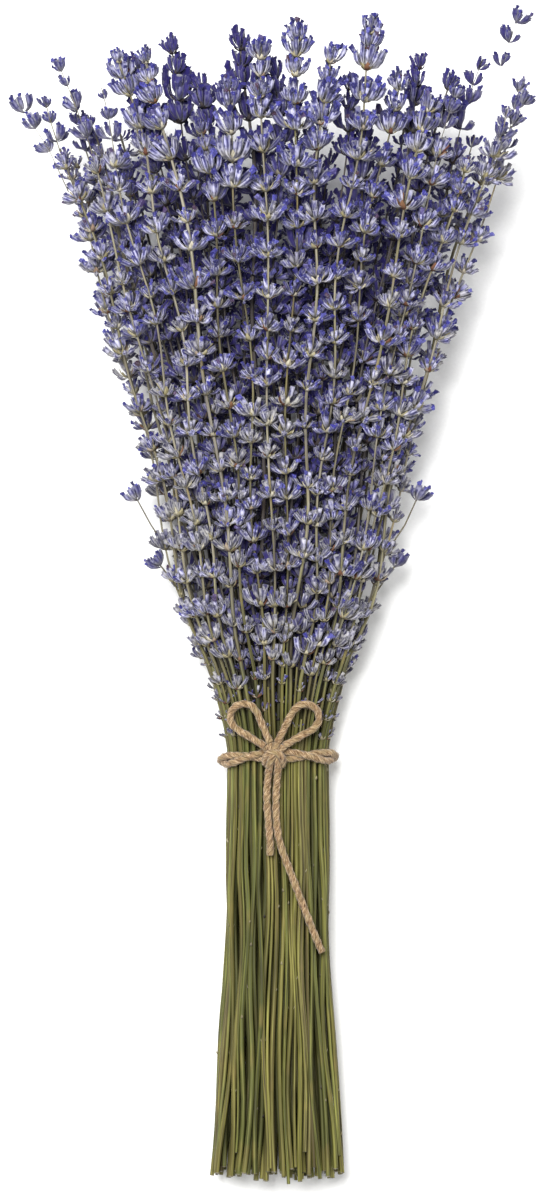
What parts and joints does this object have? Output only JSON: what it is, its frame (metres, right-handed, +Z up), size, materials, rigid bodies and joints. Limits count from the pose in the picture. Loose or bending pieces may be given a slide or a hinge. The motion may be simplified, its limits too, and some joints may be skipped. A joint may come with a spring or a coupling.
{
  "type": "bunch of dried lavender",
  "caption": "Bunch of dried lavender lying on its side: stems bound with a twine bow and fanning out into violet flower spikes.",
  "frame": {"origin": "on the surface that the bunch lies on, under the middle of its bounding box without the free twine", "axes": "+Y from the cut stem ends to the flower tips, +Z up from the surface, +X across the fan"},
  "size_m": [0.1816, 0.4176, 0.0845],
  "materials": {
    "lavender": "dry and matt: violet-grey florets on straw-green stems",
    "twine": "tan jute, twisted and slightly fuzzy"
  },
  "bodies": {
    "root": {"sprigs_01": "lavender", "sprigs_02": "lavender", "sprigs_03": "lavender", "sprigs_04": "lavender", "sprigs_05": "lavender", "sprigs_06": "lavender", "sprigs_07": "lavender", "sprigs_08": "lavender", "sprigs_09": "lavender", "sprigs_10": "lavender", "sprigs_11": "lavender", "sprigs_12": "lavender", "sprigs_13": "lavender", "sprigs_14": "lavender", "sprigs_15": "lavender", "sprigs_16": "lavender", "sprigs_17": "lavender", "sprigs_18": "lavender", "sprigs_19": "lavender", "sprigs_20": "lavender", "sprigs_21": "lavender", "sprigs_22": "lavender", "sprigs_23": "lavender", "sprigs_24": "lavender", "sprigs_25": "lavender", "sprigs_26": "lavender", "sprigs_27": "lavender", "sprigs_28": "lavender", "sprigs_29": "lavender", "sprigs_30": "lavender", "sprigs_31": "lavender", "sprigs_32": "lavender", "sprigs_33": "lavender", "sprigs_34": "lavender", "sprigs_35": "lavender", "sprigs_36": "lavender", "sprigs_37": "lavender", "sprigs_38": "lavender", "sprigs_39": "lavender", "sprigs_40": "lavender", "sprigs_41": "lavender", "sprigs_42": "lavender", "sprigs_43": "lavender", "sprigs_44": "lavender", "sprigs_45": "lavender", "sprigs_46": "lavender", "twine_wrap": "twine", "twine_loop_left": "twine", "twine_loop_right": "twine", "twine_tail_long": "twine", "twine_tail_short": "twine"}
  },
  "joints": []
}
